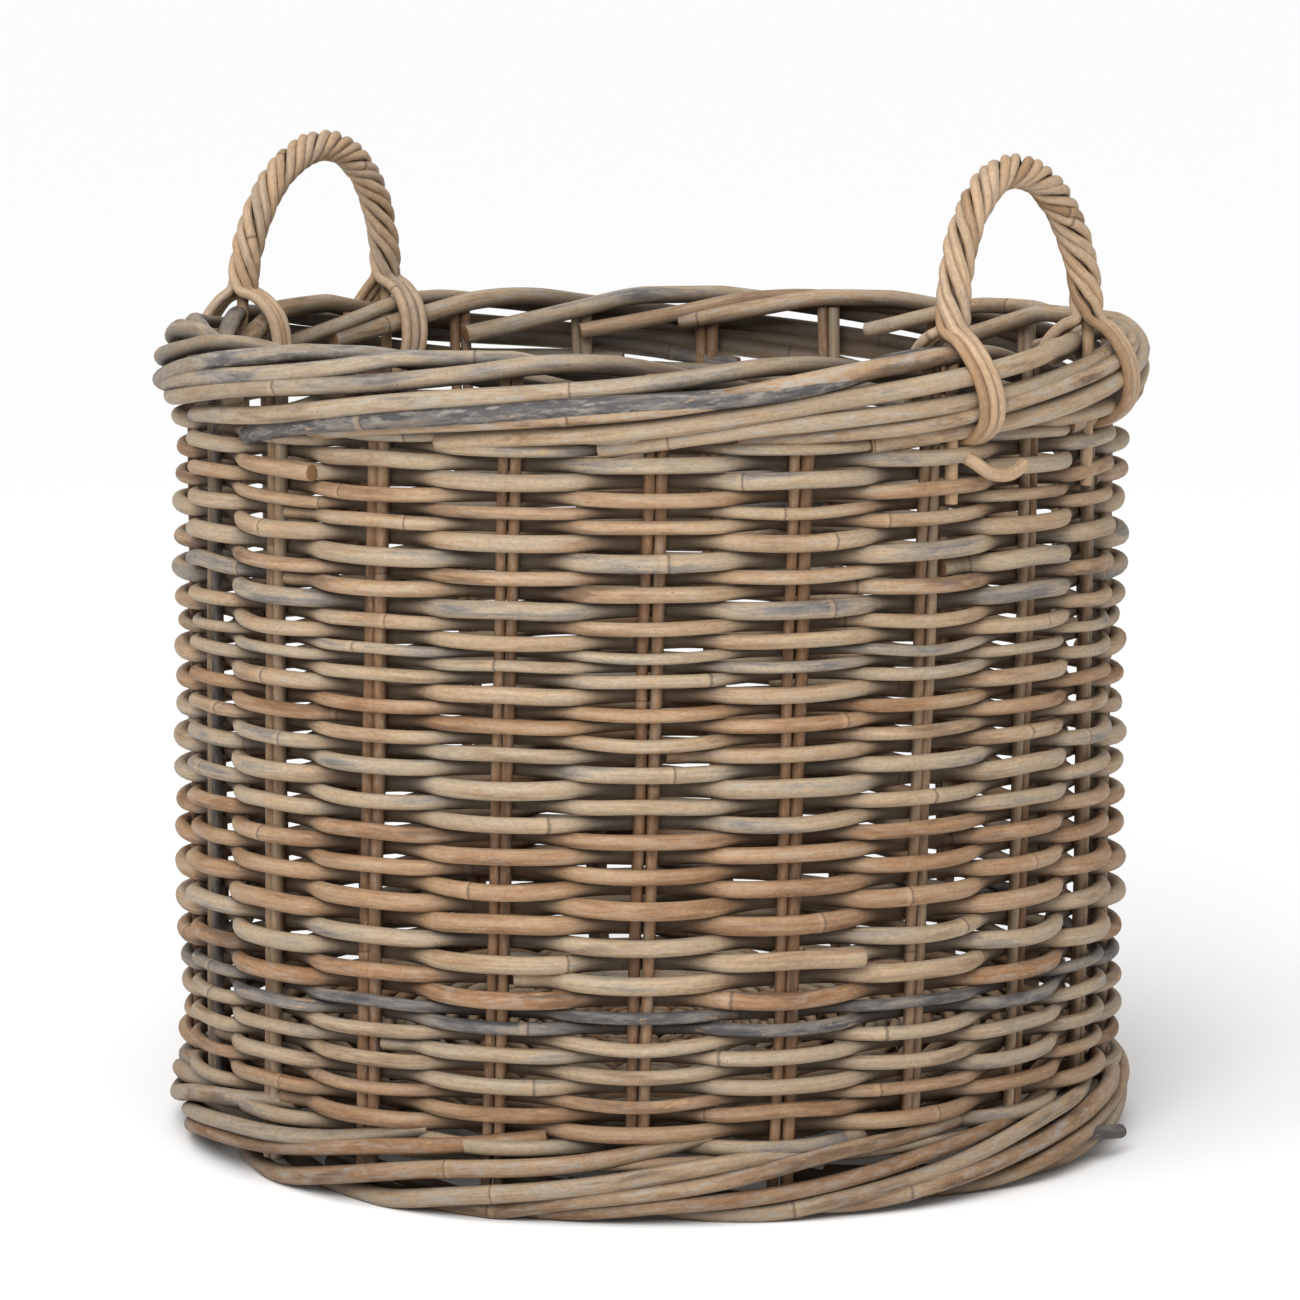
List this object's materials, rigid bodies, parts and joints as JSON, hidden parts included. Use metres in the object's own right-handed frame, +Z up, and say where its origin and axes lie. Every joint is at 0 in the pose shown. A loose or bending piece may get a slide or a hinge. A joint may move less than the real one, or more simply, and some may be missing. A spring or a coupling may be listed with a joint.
{
  "type": "woven laundry basket",
  "caption": "Tall round open laundry basket woven from weathered cane, with a rolled rim, a plaited foot and two fixed roped handles.",
  "frame": {"origin": "centre of the underside, where the basket stands on the floor", "axes": "+Z up through the open mouth, +X towards the middle of one handle and -X towards the other"},
  "size_m": [0.596, 0.596, 0.589],
  "materials": {
    "wall_cane": "matt weathered grey-brown cane with its bark on",
    "stake_cane": "matt weathered cane",
    "border_cane": "matt weathered grey and brown cane",
    "base_cane": "matt weathered cane",
    "handle_cane": "satin honey-brown cane"
  },
  "bodies": {
    "root": {"base_centre_weave": "base_cane", "base_stick_extra": "base_cane", "base_sticks_lower": "base_cane", "base_sticks_upper": "base_cane", "base_weave": "base_cane", "foot_border": "border_cane", "handle_front_core": "handle_cane", "handle_front_inner_ties_left": "handle_cane", "handle_front_inner_ties_right": "handle_cane", "handle_front_outer_ties_left": "handle_cane", "handle_front_outer_ties_right": "handle_cane", "handle_front_rope": "handle_cane", "handle_rear_core": "handle_cane", "handle_rear_inner_ties_left": "handle_cane", "handle_rear_inner_ties_right": "handle_cane", "handle_rear_outer_ties_left": "handle_cane", "handle_rear_outer_ties_right": "handle_cane", "handle_rear_rope": "handle_cane", "rim_border": "border_cane", "stake_pair_01": "stake_cane", "stake_pair_02": "stake_cane", "stake_pair_03": "stake_cane", "stake_pair_04": "stake_cane", "stake_pair_05": "stake_cane", "stake_pair_06": "stake_cane", "stake_pair_07": "stake_cane", "stake_pair_08": "stake_cane", "stake_pair_09": "stake_cane", "stake_pair_10": "stake_cane", "stake_pair_11": "stake_cane", "stake_pair_12": "stake_cane", "stake_pair_13": "stake_cane", "stake_pair_14": "stake_cane", "stake_pair_15": "stake_cane", "stake_pair_16": "stake_cane", "stake_pair_17": "stake_cane", "stake_pair_18": "stake_cane", "stake_pair_19": "stake_cane", "stake_pair_20": "stake_cane", "stake_pair_21": "stake_cane", "weave_band_1": "wall_cane", "weave_band_2": "wall_cane", "weave_band_3": "wall_cane", "weave_band_4": "wall_cane", "weave_band_5": "wall_cane", "weave_band_6": "wall_cane"}
  },
  "joints": []
}
